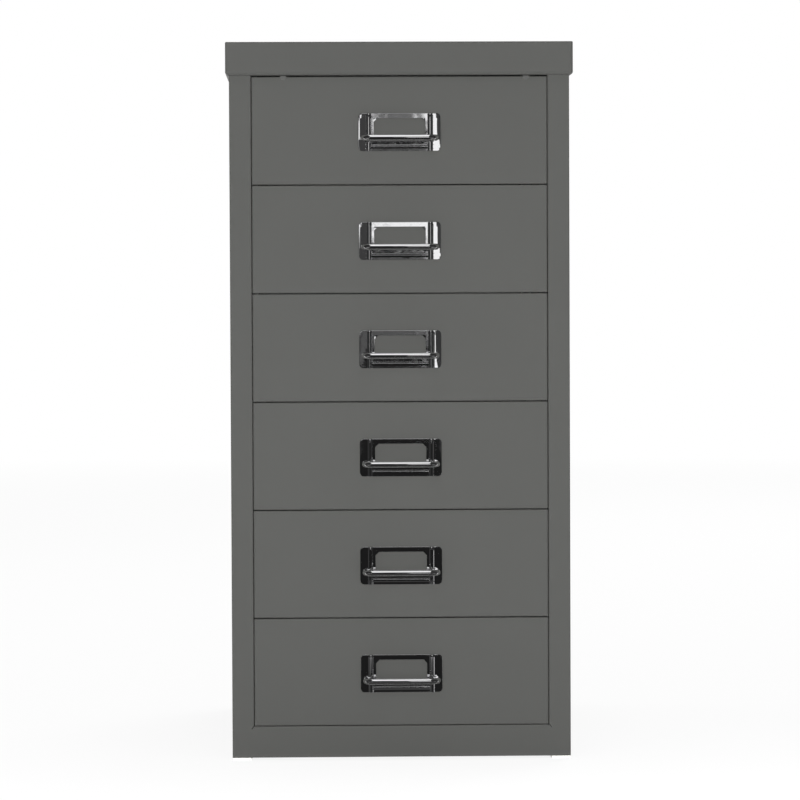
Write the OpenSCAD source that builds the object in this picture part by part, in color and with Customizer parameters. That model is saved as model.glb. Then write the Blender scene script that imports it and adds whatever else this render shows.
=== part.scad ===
// Six-drawer steel cabinet for A4 papers, folded from sheet.
// Millimetres. X is right, Y is back, Z is up. The origin is on the floor, at the
// middle of the overall width and of the overall depth, pulls included.

/* [Cabinet] */
// Height from the floor to the top of the cap
cabinet_height = 590; // [540:1:660]
// Width across the two side panels
carcass_width = 279; // [262:1:330]
// Depth from the face of the drawers to the rear of the side panels
carcass_depth = 380; // [375:1:430]
// Thickness of the carcass sheet
sheet = 0.9; // [0.7:0.1:1.2]
// Inside radius of the folds
fold_inner_r = 0.2; // [0.2:0.1:1.2]
// Width of the upright strip beside the drawers
stile_width = 18; // [16:0.5:20]
// Depth of the fold that runs back beside the opening
stile_return = 40; // [30:1:60]
// Height of the plinth below the drawers
plinth_height = 26; // [22:1:40]
// Depth of the ledge on top of the plinth
ledge_depth = 13; // [10:0.5:13.5]
// Height of the flanges turned up round the floor
floor_flange = 14; // [8:1:18]
// Clearance between welded or seated sheets
seat_gap = 0.1; // [0.05:0.05:0.2]

/* [Cap] */
// How far the cap stands out past the carcass all round
cap_overhang = 3; // [2.4:0.1:5]
// Height of the cap's flange
cap_drop = 27.4; // [22:0.2:36]
// Radius of the cap's upright corners
cap_corner_r = 2; // [1.6:0.1:4]
// Depth of the rail behind the cap's front flange
rail_depth = 13; // [10:1:30]

/* [Feet] */
// Thickness of the foot pads under the carcass
foot_height = 2; // [1.6:0.1:6]
// Side of the square foot pads
foot_side = 16; // [12:0.5:17]
// Diameter of the stem that holds a foot in the floor
foot_stem_d = 6; // [4:0.5:8]
// Height of the stem above the floor's underside
foot_stem_h = 7; // [4:0.5:12]

/* [Drawer fronts] */
// Gap between one front and the next
front_gap = 0.6; // [0.5:0.1:2.5]
// Gap between the top front and the cap
top_gap = 0.9; // [0.8:0.1:3]
// Gap between the bottom front and the plinth
base_gap = 0.3; // [0.3:0.1:2]
// Gap at each side of a front
side_gap = 0.3; // [0.3:0.1:1.2]
// Depth of the folded front
front_depth = 14; // [12:0.5:18]
// Width of the flange turned in at the rear of a front
front_flange = 8; // [6:0.5:14]
// Radius of the front's corners seen from the front
front_corner_r = 1; // [0.6:0.1:3]

/* [Trays] */
// Thickness of the drawer sheet
drawer_sheet = 0.8; // [0.6:0.1:1.2]
// Gap between the trays and the back panel
rear_gap = 14; // [6:1:40]
// Height of the tray's underside above the front's lower edge
tray_rise = 5; // [3:0.5:10]
// Drop from the front's upper edge to the top of the tray
tray_drop = 8.5; // [7.5:0.5:11]
// How much lower the tray's rear wall is than its sides
rear_wall_drop = 12; // [0:1:30]
// Outside radius of the tray's lower corners
tray_r = 2; // [1.5:0.1:4]
// How far a drawer pulls out
drawer_travel = 280; // [180:1:285]

/* [Runners] */
// Thickness of the runner channels
runner_sheet = 1; // [0.8:0.1:1.4]
// Width of a runner's flanges
runner_ledge = 9.5; // [8:0.5:12]
// Height inside a runner channel
runner_mouth = 6; // [5:0.2:6.4]
// Running clearance below, above and before a sliding piece
run_gap = 0.3; // [0.2:0.05:0.4]
// Clearance between the tray's sides and the runners
tray_clear = 1; // [0.6:0.1:2]
// Clearance between the tray's lips and the runner webs
lip_clear = 0.8; // [0.5:0.1:1.5]
// Depth of the rear uprights that carry the runners
upright_depth = 36; // [20:1:60]
// How far a stop lug hangs below a runner's top flange
lug_drop = 2.6; // [1.5:0.1:3]
// Length of a glide block
glide_length = 14; // [8:1:20]
// Diameter of the stud under a glide block
glide_stud_d = 3; // [2:0.5:4]

/* [Pulls] */
// Width of the pull plate
plate_w = 67.4; // [64:0.2:90]
// Height of the pull plate
plate_h = 31; // [30:0.5:40]
// Thickness of the pull plate
plate_t = 1.2; // [0.8:0.1:2]
// How far the plate's face falls back from a rib to the plate's side edge
wing_fall = 0.6; // [0.2:0.1:0.7]
// Corner radius of the pull plate
plate_corner_r = 3.2; // [1:0.1:5]
// Drop of the plate's centre below the centre of the front
plate_drop = 1.5; // [0:0.1:6]
// Width of the label window
window_w = 42; // [36:0.5:42]
// Height of the label window
window_h = 17.4; // [12:0.2:18]
// Height of the strip above the window
window_rail = 4.1; // [3:0.1:5]
// Cut across the window's corners
window_chamfer = 2.9; // [1:0.1:5]
// Distance between the two upright ribs
rib_spacing = 50.4; // [49:0.1:54]
// Diameter of the ribs' round face
rib_d = 4.2; // [3:0.1:4.4]
// How far the ribs stand proud of the plate
rib_rise = 1.5; // [0.8:0.1:2]
// How far the ribs run past the plate's upper edge
rib_over = 0.5; // [0:0.1:1.5]
// Diameter of the bead along the foot of the plate
bead_d = 10; // [6:0.5:14]
// How far the bead stands proud of the plate
bead_rise = 0.25; // [0.2:0.05:0.5]
// Height of the bead's centre above the plate's lower edge
bead_height = 3.7; // [2.5:0.1:5]
// Diameter of the grip bar
bar_d = 5; // [4:0.1:5.6]
// Distance between the bar's two legs
bar_legs = 58.8; // [58.4:0.1:60.5]
// Reach of the bar's centre in front of the drawer
bar_reach = 16.5; // [13:0.1:24]
// Drop of the bar's centre below the plate's upper edge
bar_drop = 20.5; // [20:0.1:22.5]
// Radius of the bar's bends, at its centre line
bar_bend_r = 6; // [4:0.5:9]
// Clearance of the legs in their holes
leg_clear = 0.1; // [0.05:0.05:0.3]
// Diameter of the clips pushed on the legs
clip_d = 11; // [9:0.5:14]
// Thickness of the clips
clip_t = 0.8; // [0.5:0.1:1.5]
// Length of leg that shows behind a clip
leg_end = 1.5; // [0.5:0.1:3]

/* [Top buffers] */
// Diameter of the buffers on the top drawer
buffer_d = 6; // [4:0.5:8]
// Distance from the drawer's centre to the left buffer
buffer_left = 95; // [60:1:105]
// Distance from the drawer's centre to the right buffer
buffer_right = 104; // [60:1:105]
// Diameter of a buffer's stem
buffer_stem_d = 3; // [2:0.5:3.5]
// Length of the stem below the front's upper face
buffer_stem_h = 4; // [2:0.5:7]

/* [Hidden] */
$fn = 48;
cut = 1; // how far a cutting shape runs past what it cuts
drawer_count = 6;

fold_r = sheet + fold_inner_r; // outside radius of the folds
half_w = carcass_width / 2;
open_half = half_w - stile_width;
pull_reach = bar_reach + bar_d / 2;
overall_depth = pull_reach + carcass_depth + cap_overhang;
y_front = pull_reach - overall_depth / 2;
y_back = y_front + carcass_depth;
y_rear_face = y_back - sheet; // front of the side panels' rear flanges
y_inner = y_rear_face - sheet; // inside of the back panel
z_base = foot_height;
z_plinth = z_base + plinth_height;
z_cap = cabinet_height - cap_drop;
z_under = cabinet_height - sheet;
cap_roll = cap_overhang - 2 * seat_gap;

front_half = open_half - side_gap;
gaps_h = top_gap + base_gap + (drawer_count - 1) * front_gap;
front_h = (z_cap - z_plinth - gaps_h) / drawer_count;
y_tray = y_front + front_depth; // front of the tray's front wall
y_tray_end = y_inner - rear_gap;
tray_half = open_half - runner_ledge - tray_clear;
lip_half = open_half - runner_sheet - lip_clear;
y_run = y_tray + drawer_sheet + run_gap; // front end of the runners
y_run_end = y_inner - 2;
lug_t = runner_sheet;
lug_setback = 2; // from the runner's front end to the lug
y_glide = y_run + lug_setback + lug_t + run_gap + drawer_travel;
glide_h = runner_mouth - 2 * run_gap - drawer_sheet;
glide_x0 = tray_half + run_gap;
glide_x1 = open_half - runner_sheet - run_gap;
leg_hole_d = bar_d + 2 * leg_clear;
wing_w = (plate_w - rib_spacing) / 2; // from a rib's centre to the plate's side edge
wing_r = (pow(wing_w, 2) + pow(wing_fall, 2)) / (2 * wing_fall);
rib_foot_r = 0.6; // rounding of a rib's lower end
rib_tip_r = rib_d / 2 - 0.1; // and of its upper end
relief_length = 3.2; // the slits at the lower corners of the opening
relief_width = 0.4;

function front_z(k) = z_plinth + base_gap + (drawer_count - k) * (front_h + front_gap);
function front_top(k) = front_z(k) + front_h;
function tray_top(k) = front_top(k) - tray_drop;
function lip_under(k) = tray_top(k) - drawer_sheet;
function ledge_z(k) = lip_under(k) - run_gap; // top of a runner's lower flange
function plate_top(k) = front_z(k) + front_h / 2 - plate_drop + plate_h / 2;
function bar_z(k) = plate_top(k) - bar_drop;

// A box between two corners
module block(low, high) {
    translate(low) cube(high - low);
}

// A rectangle between two corners, with one radius low and another high
module round_rect(low, high, r_low, r_high) {
    translate([low[0] + r_low, low[1]])
        square([high[0] - low[0] - 2 * r_low, r_low]);
    translate([low[0] + r_high, high[1] - r_high])
        square([high[0] - low[0] - 2 * r_high, r_high]);
    translate([low[0], low[1] + r_low])
        square([high[0] - low[0], high[1] - low[1] - r_low - r_high]);
    for (x = [low[0] + r_low, high[0] - r_low])
        translate([x, low[1] + r_low]) circle(r_low);
    for (x = [low[0] + r_high, high[0] - r_high])
        translate([x, high[1] - r_high]) circle(r_high);
}

// Stands a profile drawn in X and Z along Y, from y0 to y1
module along_y(y0, y1) {
    translate([0, y1, 0]) rotate([90, 0, 0]) linear_extrude(y1 - y0) children();
}

// Lays a profile drawn in Y and Z along X, from x0 to x1
module along_x(x0, x1) {
    translate([x0, 0, 0]) rotate([90, 0, 90]) linear_extrude(x1 - x0) children();
}

// Stands a profile drawn in X and Y along Z, from z0 to z1
module along_z(z0, z1) {
    translate([0, 0, z0]) linear_extrude(z1 - z0) children();
}

// Draws its children, made for the right, on the side that is named
module on_side(side) {
    if (side == "left") mirror([1, 0, 0]) children();
    else children();
}

// ---- Carcass ----

// The thin slit at 45 degrees below each lower corner of the opening
module corner_relief() {
    translate([open_half, y_front, z_plinth]) rotate([0, 45, 0])
        block([0, -cut, -relief_width / 2], [relief_length, sheet + cut, relief_width / 2]);
}

// A side with the stile and its return folded in at the front and a flange at the rear
module side_panel(side) {
    color("dimgray") on_side(side) difference() {
        along_z(z_base, z_under) difference() {
            round_rect([open_half, y_front], [half_w, y_back], fold_r, fold_r);
            round_rect([open_half + sheet, y_front + sheet], [half_w - sheet, y_rear_face],
                fold_r - sheet, fold_r - sheet);
            translate([open_half - cut, y_front + stile_return])
                square([fold_r + cut, carcass_depth]);
        }
        // the return stops on the plinth's ledge, where the plinth takes over
        block([open_half - cut, y_front - cut, z_base - cut],
            [open_half + fold_r, y_front + stile_return + cut, z_plinth]);
        corner_relief();
    }
}

module back_panel() {
    x = half_w - fold_r - seat_gap; // clear of the round inside the side panels' rear folds
    color("dimgray") block([-x, y_inner, z_base], [x, y_rear_face, z_under]);
}

// Floor, plinth and ledge from one sheet, with flanges turned up at the sides and rear
module base_pan() {
    x = half_w - sheet - seat_gap;
    x_face = open_half + fold_r;
    color("dimgray") difference() {
        union() {
            along_x(-x_face, x_face) difference() {
                round_rect([y_front, z_base], [y_front + ledge_depth, z_plinth], fold_r, fold_r);
                round_rect([y_front + sheet, z_base + sheet],
                    [y_front + ledge_depth - sheet, z_plinth - sheet],
                    fold_r - sheet, fold_r - sheet);
                translate([y_front + ledge_depth - fold_r, z_base])
                    square([fold_r + cut, plinth_height - floor_flange / 2]);
            }
            block([-x, y_front + fold_r, z_base], [x, y_inner, z_base + sheet]);
            for (s = [-1, 1]) translate([s * (x - sheet / 2), 0, 0])
                block([-sheet / 2, y_front + foot_side + floor_flange, z_base],
                    [sheet / 2, y_inner - foot_side - floor_flange, z_base + floor_flange]);
            block([floor_flange - open_half, y_inner - sheet, z_base],
                [open_half - floor_flange, y_inner, z_base + floor_flange]);
        }
        foot_places() cylinder(d = foot_stem_d + 2 * seat_gap, h = 4 * sheet, center = true);
        for (s = ["left", "right"]) on_side(s) corner_relief();
    }
}

// The cap's solid form, drawn in by "inset" on every side
module cap_form(inset) {
    x = half_w + cap_overhang - inset;
    y0 = y_front - cap_overhang + inset;
    y1 = y_back + cap_overhang - inset;
    z0 = z_cap + inset;
    z1 = cabinet_height - inset;
    intersection() {
        along_y(y0, y1) round_rect([-x, z0], [x, z1], cap_roll - inset, fold_r - inset);
        along_x(-x, x) round_rect([y0, z0], [y1, z1], cap_roll - inset, fold_r - inset);
        along_z(z0, z1) round_rect([-x, y0], [x, y1], cap_corner_r - inset, cap_corner_r - inset);
    }
}

// A tray turned upside down over the carcass, its rolled rim closing on the carcass
module top_cap() {
    x = half_w + seat_gap;
    color("dimgray") difference() {
        cap_form(0);
        cap_form(sheet);
        block([-x, y_front - seat_gap, z_cap - cut], [x, y_back + seat_gap, z_cap + 2 * sheet]);
    }
}

// A channel between the stiles, behind the cap's front flange
module front_rail() {
    x = open_half - seat_gap;
    color("dimgray") along_x(-x, x) difference() {
        round_rect([y_front, z_cap], [y_front + rail_depth, z_under], fold_r, fold_r);
        round_rect([y_front + sheet, z_cap + sheet], [y_front + rail_depth - sheet, z_under - sheet],
            fold_r - sheet, fold_r - sheet);
        translate([y_front + rail_depth - fold_r, z_cap - cut])
            square([fold_r + cut, cap_drop + 2 * cut]);
    }
}

// An angle on the back panel that carries the rear ends of the runners
module rear_upright(side) {
    y0 = y_inner - upright_depth;
    x1 = open_half + stile_width / 2;
    color("silver") on_side(side) along_z(z_base + sheet, z_under) difference() {
        round_rect([open_half, y0 - fold_r], [x1 + fold_r, y_inner], fold_r, fold_r);
        round_rect([open_half + sheet, y0 - 2 * fold_r], [x1 + 2 * fold_r, y_inner - sheet],
            fold_r - sheet, fold_r - sheet);
        translate([x1, y0 - cut - fold_r]) square([2 * fold_r, 2 * upright_depth]);
        translate([open_half - cut, y0 - cut - fold_r]) square([stile_width, fold_r + cut]);
    }
}

// One channel for each drawer, with a lug in its front end that stops the glide block
module runners(side) {
    x0 = open_half - runner_ledge;
    color("silver") on_side(side) for (k = [1:drawer_count]) {
        z0 = ledge_z(k) - runner_sheet;
        z1 = ledge_z(k) + runner_mouth + runner_sheet;
        along_y(y_run, y_run_end) difference() {
            translate([x0, z0]) square([runner_ledge, z1 - z0]);
            translate([x0 - cut, z0 + runner_sheet])
                square([runner_ledge + cut - runner_sheet, runner_mouth]);
        }
        block([x0 + 2 * runner_sheet, y_run + lug_setback, z1 - runner_sheet - lug_drop],
            [open_half - runner_sheet, y_run + lug_setback + lug_t, z1 - runner_sheet]);
    }
}

// ---- Feet ----

// Puts its children under each corner of the floor
module foot_places() {
    for (x = [foot_side / 2 - half_w, half_w - foot_side / 2],
         y = [y_front + foot_side / 2, y_back - foot_side / 2])
        translate([x, y, z_base]) children();
}

module feet() {
    color("whitesmoke") foot_places() {
        translate([0, 0, -foot_height]) linear_extrude(foot_height)
            round_rect([-foot_side / 2, -foot_side / 2], [foot_side / 2, foot_side / 2],
                fold_r, fold_r);
        translate([0, 0, -foot_height / 2])
            cylinder(d = foot_stem_d, h = foot_stem_h + foot_height / 2);
    }
}

// ---- Drawers ----

// Puts its children at the two legs of a pull
module leg_places(k) {
    for (x = [-bar_legs / 2, bar_legs / 2])
        translate([x, y_front, bar_z(k)]) rotate([-90, 0, 0]) children();
}

// Puts its children where the two top buffers stand, on top of the first front
module buffer_places() {
    for (x = [-buffer_left, buffer_right])
        translate([x, y_front + buffer_d / 2, front_top(1)]) children();
}

// A front's solid form, drawn in by "inset" on every side
module front_form(k, inset) {
    x = front_half - inset;
    y0 = y_front + inset;
    y1 = y_tray - inset;
    z0 = front_z(k) + inset;
    z1 = front_top(k) - inset;
    r = fold_r - inset;
    corner_r = max(front_corner_r - inset, 0.1);
    intersection() {
        along_y(y0, y1) round_rect([-x, z0], [x, z1], corner_r, corner_r);
        along_x(-x, x) round_rect([y0, z0], [y1, z1], r, r);
        along_z(z0, z1) round_rect([-x, y0], [x, y1], r, r);
    }
}

// A shallow pan with its rim turned in behind
module drawer_front(k) {
    x = front_half - front_flange;
    color("gray") difference() {
        front_form(k, 0);
        front_form(k, sheet);
        block([-x, y_tray - 2 * sheet, front_z(k) + front_flange],
            [x, y_tray + cut, front_top(k) - front_flange]);
        leg_places(k) translate([0, 0, -cut]) cylinder(d = leg_hole_d, h = sheet + 2 * cut);
        if (k == 1) buffer_places() cylinder(d = buffer_stem_d + 2 * leg_clear, h = 4 * sheet,
            center = true);
    }
}

// Bottom, sides with lips turned out at the top, a low rear wall and a front wall
// that backs the whole of the front
module drawer_tray(k) {
    z0 = front_z(k) + tray_rise;
    z1 = tray_top(k);
    z_rear = z1 - rear_wall_drop;
    x_wall = front_half - fold_r;
    t = drawer_sheet;
    color("darkgray") difference() {
        union() {
            along_y(y_tray, y_tray_end) {
                difference() {
                    round_rect([-tray_half, z0], [tray_half, z1], tray_r, t);
                    translate([0, t]) round_rect([t - tray_half, z0], [tray_half - t, z1 + tray_r],
                        tray_r - t, tray_r - t);
                }
                for (x = [-lip_half, tray_half - t]) translate([x, z1 - t])
                    square([lip_half - tray_half + t, t]);
            }
            block([-x_wall, y_tray, front_z(k) + fold_r], [x_wall, y_tray + t, front_top(k) - fold_r]);
            block([tray_r - tray_half, y_tray_end - t, z0 + t / 2],
                [tray_half - tray_r, y_tray_end, z_rear]);
            block([t / 2 - tray_half, y_tray_end - t, z0 + tray_r], [tray_half - t / 2, y_tray_end, z_rear]);
        }
        glide_places(k) cylinder(d = glide_stud_d + 2 * leg_clear, h = 4 * t, center = true);
    }
}

// Puts its children on top of the two lips, at the middle of each glide block
module glide_places(k) {
    for (s = [-1, 1])
        translate([s * (glide_x0 + glide_x1) / 2, y_glide + glide_length / 2, tray_top(k)])
            children();
}

// Blocks riveted on the lips: they hold the drawer level and meet the stop lugs
module glides(k) {
    x = (glide_x1 - glide_x0) / 2;
    color("whitesmoke") glide_places(k) {
        block([-x, -glide_length / 2, 0], [x, glide_length / 2, glide_h]);
        translate([0, 0, -drawer_sheet]) cylinder(d = glide_stud_d, h = drawer_sheet + glide_h / 2);
    }
}

// ---- Pulls ----

// Outline of a half-round strip that stands "rise" proud of the plate
module bead_profile(d, rise) {
    intersection() {
        translate([0, d / 2 - rise - plate_t]) circle(d = d);
        translate([-d, -plate_t - rise - cut]) square([2 * d, plate_t + rise + cut - plate_t / 2]);
    }
}

// Plan of the plate: flat between the ribs, its side wings curving back to their edges
module plate_plan() {
    translate([-rib_spacing / 2, -plate_t]) square([rib_spacing, plate_t]);
    intersection() {
        translate([-plate_w / 2, -plate_t]) square([plate_w, plate_t]);
        for (x = [-rib_spacing / 2, rib_spacing / 2])
            translate([x, wing_r - plate_t]) circle(wing_r, $fn = 4 * $fn);
    }
}

// A plate with a label window, two upright ribs and a bead along its foot
module pull_plate(k) {
    z1 = plate_top(k);
    z0 = z1 - plate_h;
    z_win = z1 - window_rail;
    color("lightgray") difference() {
        union() {
            intersection() {
                translate([0, y_front, 0]) along_z(z0, z1) plate_plan();
                along_y(y_front - plate_t, y_front) difference() {
                    round_rect([-plate_w / 2, z0], [plate_w / 2, z1],
                        plate_corner_r, plate_corner_r);
                    polygon([
                        [-window_w / 2, z_win - window_h], [window_w / 2, z_win - window_h],
                        [window_w / 2, z_win - window_chamfer],
                        [window_w / 2 - window_chamfer, z_win],
                        [window_chamfer - window_w / 2, z_win],
                        [-window_w / 2, z_win - window_chamfer]
                    ]);
                }
            }
            for (x = [-rib_spacing / 2, rib_spacing / 2]) intersection() {
                translate([x, y_front, 0]) along_z(z0, z1 + rib_over) bead_profile(rib_d, rib_rise);
                along_y(y_front - plate_t - rib_rise - cut, y_front)
                    round_rect([x - rib_d / 2, z0], [x + rib_d / 2, z1 + rib_over],
                        rib_foot_r, rib_tip_r);
            }
            translate([0, y_front, z0 + bead_height]) rotate([0, 90, 0])
                translate([0, 0, -rib_spacing / 2]) linear_extrude(rib_spacing)
                    bead_profile(bead_d, bead_rise);
        }
        leg_places(k) translate([0, 0, -plate_t - rib_rise - cut])
            cylinder(d = leg_hole_d, h = plate_t + rib_rise + 2 * cut);
    }
}

// A round bar bent back at both ends, its legs passing through the plate and the front
module pull_bar(k) {
    z = bar_z(k);
    y_bar = y_front - bar_reach;
    leg_len = bar_reach - bar_bend_r + sheet + clip_t + leg_end;
    color("lightgray") {
        translate([bar_bend_r - bar_legs / 2, y_bar, z]) rotate([0, 90, 0])
            cylinder(d = bar_d, h = bar_legs - 2 * bar_bend_r);
        for (s = [-1, 1]) {
            translate([s * bar_legs / 2, y_bar + bar_bend_r, z]) rotate([-90, 0, 0])
                cylinder(d = bar_d, h = leg_len);
            translate([s * (bar_legs / 2 - bar_bend_r), y_bar + bar_bend_r, z])
                rotate([0, 0, s > 0 ? -90 : 180]) rotate_extrude(angle = 90)
                    translate([bar_bend_r, 0]) circle(d = bar_d);
        }
    }
}

// Discs pushed on the legs inside the front
module pull_clips(k) {
    color("silver") leg_places(k) translate([0, 0, sheet]) difference() {
        cylinder(d = clip_d, h = clip_t);
        translate([0, 0, -cut]) cylinder(d = leg_hole_d, h = clip_t + 2 * cut);
        for (a = [0:60:300]) rotate(a)
            block([0, -clip_t / 2, -cut], [clip_d / 3, clip_t / 2, clip_t + cut]);
    }
}

// Two round studs on the top drawer that take up its gap below the cap
module top_buffers() {
    color("dimgray") buffer_places() {
        cylinder(d = buffer_d, h = top_gap - run_gap);
        translate([0, 0, -buffer_stem_h]) cylinder(d = buffer_stem_d, h = buffer_stem_h + top_gap / 2);
    }
}

side_panel("left");  // left_side_panel
side_panel("right");  // right_side_panel
back_panel();
base_pan();
top_cap();
front_rail();
rear_upright("left");  // left_rear_upright
rear_upright("right");  // right_rear_upright
runners("left");  // left_runners
runners("right");  // right_runners
feet();
drawer_front(1);  // drawer_1_front
drawer_tray(1);  // drawer_1_tray
glides(1);  // drawer_1_glides
pull_plate(1);  // drawer_1_pull_plate
pull_bar(1);  // drawer_1_pull_bar
pull_clips(1);  // drawer_1_pull_clips
top_buffers();  // drawer_1_top_buffers
drawer_front(2);  // drawer_2_front
drawer_tray(2);  // drawer_2_tray
glides(2);  // drawer_2_glides
pull_plate(2);  // drawer_2_pull_plate
pull_bar(2);  // drawer_2_pull_bar
pull_clips(2);  // drawer_2_pull_clips
drawer_front(3);  // drawer_3_front
drawer_tray(3);  // drawer_3_tray
glides(3);  // drawer_3_glides
pull_plate(3);  // drawer_3_pull_plate
pull_bar(3);  // drawer_3_pull_bar
pull_clips(3);  // drawer_3_pull_clips
drawer_front(4);  // drawer_4_front
drawer_tray(4);  // drawer_4_tray
glides(4);  // drawer_4_glides
pull_plate(4);  // drawer_4_pull_plate
pull_bar(4);  // drawer_4_pull_bar
pull_clips(4);  // drawer_4_pull_clips
drawer_front(5);  // drawer_5_front
drawer_tray(5);  // drawer_5_tray
glides(5);  // drawer_5_glides
pull_plate(5);  // drawer_5_pull_plate
pull_bar(5);  // drawer_5_pull_bar
pull_clips(5);  // drawer_5_pull_clips
drawer_front(6);  // drawer_6_front
drawer_tray(6);  // drawer_6_tray
glides(6);  // drawer_6_glides
pull_plate(6);  // drawer_6_pull_plate
pull_bar(6);  // drawer_6_pull_bar
pull_clips(6);  // drawer_6_pull_clips
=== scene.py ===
from math import cos, pi, radians, sin

import bmesh
import bpy
from bpy.props import FloatProperty, FloatVectorProperty, PointerProperty
from mathutils import Matrix, Vector


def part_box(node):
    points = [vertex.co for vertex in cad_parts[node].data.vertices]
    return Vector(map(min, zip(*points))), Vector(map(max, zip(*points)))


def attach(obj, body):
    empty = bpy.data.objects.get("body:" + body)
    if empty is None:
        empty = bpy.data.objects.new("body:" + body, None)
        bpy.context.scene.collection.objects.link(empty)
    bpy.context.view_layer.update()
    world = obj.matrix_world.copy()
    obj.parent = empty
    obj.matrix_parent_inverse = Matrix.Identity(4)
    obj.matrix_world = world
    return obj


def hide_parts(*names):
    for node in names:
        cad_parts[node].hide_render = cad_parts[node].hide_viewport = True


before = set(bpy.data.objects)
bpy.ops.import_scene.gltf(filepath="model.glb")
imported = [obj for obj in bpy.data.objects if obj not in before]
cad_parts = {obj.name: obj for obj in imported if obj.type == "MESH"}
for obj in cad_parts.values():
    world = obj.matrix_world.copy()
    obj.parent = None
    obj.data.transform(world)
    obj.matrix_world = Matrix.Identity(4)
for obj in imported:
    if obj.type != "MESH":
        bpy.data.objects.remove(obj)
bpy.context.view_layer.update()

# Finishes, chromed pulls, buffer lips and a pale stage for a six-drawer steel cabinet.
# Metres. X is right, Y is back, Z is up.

bl_info = {
    "name": "Steel Drawer Cabinet",
    "version": (1, 0, 0),
    "blender": (4, 5, 0),
    "location": "View3D > Sidebar > Cabinet",
    "description": "Powder coat, chromed pulls and a pale stage for a steel drawer cabinet",
    "category": "Object",
}

MM = 0.001
DRAWERS = range(1, 7)
TINY = 0.02 * MM  # what counts as the same place
PLATE_LOW, PLATE_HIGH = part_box("drawer_1_pull_plate")
BAR_LOW, BAR_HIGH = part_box("drawer_1_pull_bar")
FACE_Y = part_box("drawer_1_front")[0].y  # the plane of the drawer fronts
SMOOTH_ANGLE = radians(42)  # edges sharper than this stay sharp
NOISE_LOW, NOISE_HIGH = 0.35, 0.65  # what noise mostly gives
COAT_MOTTLE = 0.01  # how far the coat's colour and roughness wander
WELD_FLOOR = 0.36  # half-width of a weld's flat floor, as a share of its diameter
WELD_DEPTH = 12.0  # depth of a weld, in depths of the orange peel
WELD_REACH = 2 * MM  # how far in from the rear a face still shows welds
HAZE_TONES = 0.015  # how far haze shifts the colour of bright plating
HAZE_CLEAR, HAZE_DULL = 0.015, 0.025  # and how much clearer and duller it makes it
FLAKE_SHARE = 0.12  # how much of the zinc's pattern is its flakes, and the rest is haze


# ---- Settings ----

def length(name, description, millimetres, low=0.01, high=1000):
    return FloatProperty(name=name, description=description, default=millimetres * MM,
                         min=low * MM, max=high * MM, precision=5, unit="LENGTH")


def colour(name, description, rgb):
    return FloatVectorProperty(name=name, description=description, default=rgb, size=3,
                               min=0, max=1, subtype="COLOR")


def amount(name, description, value, low=0.0, high=1.0):
    return FloatProperty(name=name, description=description, default=value, min=low, max=high)


def power(name, description, watts):
    return FloatProperty(name=name, description=description, default=watts, min=0, max=500,
                         unit="POWER")


def turn(name, description, degrees):
    return FloatProperty(name=name, description=description, default=radians(degrees),
                         precision=5, unit="ROTATION")


class CoatSettings(bpy.types.PropertyGroup):
    """The powder coat on all the folded sheet."""
    tint: colour("Coat", "Colour of the powder coat", (0.0569, 0.0576, 0.0547))
    roughness: amount("Roughness", "How satin the powder coat is", 0.46)
    peel: length("Peel size", "Size of the fine orange peel", 0.9)
    peel_depth: length("Peel depth", "Depth of the fine orange peel", 0.012, 0, 1)
    weld_pitch: length("Weld pitch", "Distance between the spot welds on the rear flanges", 88.9)
    weld: length("Weld size", "Diameter of a spot weld", 5)


class PlatingSettings(bpy.types.PropertyGroup):
    """The bright plating on the pulls and the dull plating on what runs."""
    chrome: colour("Chrome", "Colour of the bright plating", (0.86, 0.86, 0.87))
    chrome_roughness: amount("Chrome roughness", "How clear the bright plating is", 0.03)
    wave: length("Wave size", "Width of the soft waves in the pressed plates", 13)
    wave_depth: length("Wave depth", "Depth of the soft waves in the pressed plates", 0.04, 0, 1)
    zinc: colour("Zinc", "Colour of the runners' plating", (0.55, 0.56, 0.57))
    spring: colour("Spring steel", "Colour of the clips", (0.35, 0.34, 0.33))


class PlasticSettings(bpy.types.PropertyGroup):
    """The moulded plastic of the small parts."""
    nylon: colour("Nylon", "Colour of the feet and the glides", (0.72, 0.71, 0.67))
    nylon_roughness: amount("Nylon roughness", "How dull the nylon is", 0.45)
    buffer: colour("Buffer", "Colour of the top buffers", (0.062, 0.0625, 0.06))
    buffer_roughness: amount("Buffer roughness", "How dull the buffers are", 0.5)


class PlateSettings(bpy.types.PropertyGroup):
    """The pressed plate behind each grip bar."""
    rib_over: length("Rib overrun", "How far the ribs pass the plate's upper edge", 0.5)
    face: length("Face", "Distance of the plate's face in front of the drawer", 1.2)
    corner: length("Corner radius", "Radius of the plate's corners", 3.2)
    window_width: length("Window width", "Width of the label window", 42)
    window_height: length("Window height", "Height of the label window", 17.4)
    rail: length("Upper rail", "Height of the strip above the window", 4.1)
    window_cut: length("Window cut", "Cut across the window's upper corners", 2.9)
    rib_spacing: length("Rib spacing", "Distance between the two ribs", 50.4)
    rib_width: length("Rib width", "Width of a rib", 4.2)
    wing_fall: length("Wing fall", "How far the wings fall back to their upper corners", 0.6)
    foot_fall: amount("Foot fall", "Share of that fall at the foot of the wings", 0.35)
    bead_height: length("Bead height", "Height of the foot bead above the lower edge", 3.7)
    bead_width: length("Bead width", "Width of the foot bead", 3.2)
    bead_rise: length("Bead rise", "How far the foot bead stands proud", 0.25)
    edge: length("Edge radius", "Rounding of the plate's outer edge", 0.2)
    window_edge: length("Window edge radius", "Rounding of the window's edge", 0.15)
    sheet: length("Sheet", "Thickness of the pressed sheet", 0.45)


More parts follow.
